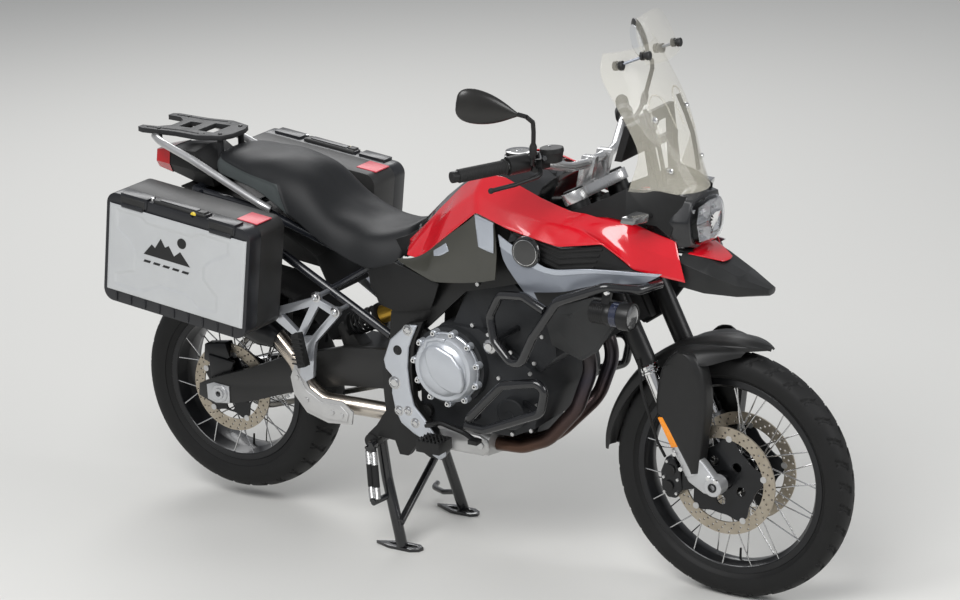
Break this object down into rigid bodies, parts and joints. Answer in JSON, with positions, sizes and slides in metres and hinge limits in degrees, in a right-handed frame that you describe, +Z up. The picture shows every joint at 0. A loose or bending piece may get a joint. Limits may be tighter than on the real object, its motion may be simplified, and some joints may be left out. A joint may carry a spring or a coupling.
{
  "type": "adventure motorcycle",
  "caption": "Middleweight adventure motorcycle with side cases, tall screen and guard bars, parked on its centre stand.",
  "frame": {"origin": "middle of the length and width, on the floor", "axes": "+X forward, +Y to the rider's left, +Z up"},
  "size_m": [2.3046, 0.9368, 1.6],
  "materials": {
    "black_metal": "satin",
    "black_plastic": "grained",
    "clear": "clear",
    "gloss_black": "gloss",
    "gold": "anodised",
    "header_steel": "heat-tinted",
    "lamp_glass": "clear",
    "lamp_red": "gloss",
    "olive_grey": "satin",
    "red_gloss": "gloss",
    "rubber": "matt",
    "seat_cover": "grained",
    "silencer_steel": "brushed",
    "silver_cast": "satin",
    "silver_grey": "satin",
    "silver_panel": "satin",
    "steel": "brushed",
    "tyre_rubber": "matt"
  },
  "bodies": {
    "chassis": {"main_frame": "black_metal", "rear_subframe": "black_metal", "engine": "black_metal", "clutch_cover": "silver_cast", "pivot_plates": "silver_cast", "exhaust_headers": "header_steel", "silencer": "silencer_steel", "radiator": "black_metal", "fuel_tank": "gloss_black", "red_panels": "red_gloss", "knee_panels": "olive_grey", "side_covers": "black_plastic", "side_shrouds": "silver_grey", "intakes": "black_plastic", "beak": "black_plastic", "headlamp": "lamp_glass", "screen": "clear", "screen_extension": "clear", "cockpit": "black_plastic", "seat": "seat_cover", "luggage_rack": "black_plastic", "grab_rails": "silver_cast", "tail_lamp": "lamp_red", "rear_guards": "black_plastic", "indicators": "black_plastic", "case_shells": "black_plastic", "peg_hangers": "silver_cast", "foot_controls": "black_metal", "crash_bars": "black_metal", "aux_lamps": "black_metal", "rear_shock": "gold", "swinging_arm": "black_metal", "drive_chain": "steel", "rear_caliper": "black_metal"},
    "steering": {"yokes": "black_metal", "fork_legs": "black_metal", "front_fender": "black_plastic", "front_calipers": "black_metal", "handlebar": "silver_cast", "bar_controls": "rubber", "mirrors": "black_plastic", "brake_hoses": "rubber"},
    "front_wheel": {"front_tyre": "tyre_rubber", "front_wire_wheel": "black_metal", "front_discs": "steel"},
    "rear_wheel": {"rear_tyre": "tyre_rubber", "rear_wire_wheel": "black_metal", "rear_disc": "steel", "rear_sprocket": "steel"},
    "centre_stand": {"centre_stand": "black_metal"},
    "side_stand": {"side_stand": "black_metal"},
    "right_lid": {"right_case_lid": "silver_panel"},
    "left_lid": {"left_case_lid": "silver_panel"},
    "fuel_cap": {"fuel_cap": "gloss_black"}
  },
  "joints": [
    {"name": "steering_turn", "type": "hinge", "parent": "chassis", "child": "steering", "pos_m": [0.4225, 0, 1], "axis": [-0.4384, 0, 0.8988], "range_deg": [-38, 38]},
    {"name": "front_wheel_spin", "type": "hinge", "parent": "steering", "child": "front_wheel", "pos_m": [0.80465, 0, 0.3477], "axis": [0, 1, 0], "continuous": true},
    {"name": "rear_wheel_spin", "type": "hinge", "parent": "chassis", "child": "rear_wheel", "pos_m": [-0.79835, 0, 0.354], "axis": [0, 1, 0], "continuous": true},
    {"name": "centre_stand_fold", "type": "hinge", "parent": "chassis", "child": "centre_stand", "pos_m": [-0.23635, 0, 0.321], "axis": [0, 1, 0], "range_deg": [0, 82]},
    {"name": "side_stand_fold", "type": "hinge", "parent": "chassis", "child": "side_stand", "pos_m": [-0.13035, 0.206, 0.322], "axis": [0, 1, 0], "range_deg": [-100, 0]},
    {"name": "right_lid_hinge", "type": "hinge", "parent": "chassis", "child": "right_lid", "pos_m": [-0.75589, -0.338, 0.65313], "axis": [0.9934, 0, -0.1149], "range_deg": [0, 85]},
    {"name": "left_lid_hinge", "type": "hinge", "parent": "chassis", "child": "left_lid", "pos_m": [-0.75589, 0.338, 0.65313], "axis": [-0.9934, 0, 0.1149], "range_deg": [0, 85]},
    {"name": "fuel_cap_hinge", "type": "hinge", "parent": "chassis", "child": "fuel_cap", "pos_m": [0.19765, 0, 1.158], "axis": [0, 1, 0], "range_deg": [0, 90]}
  ]
}
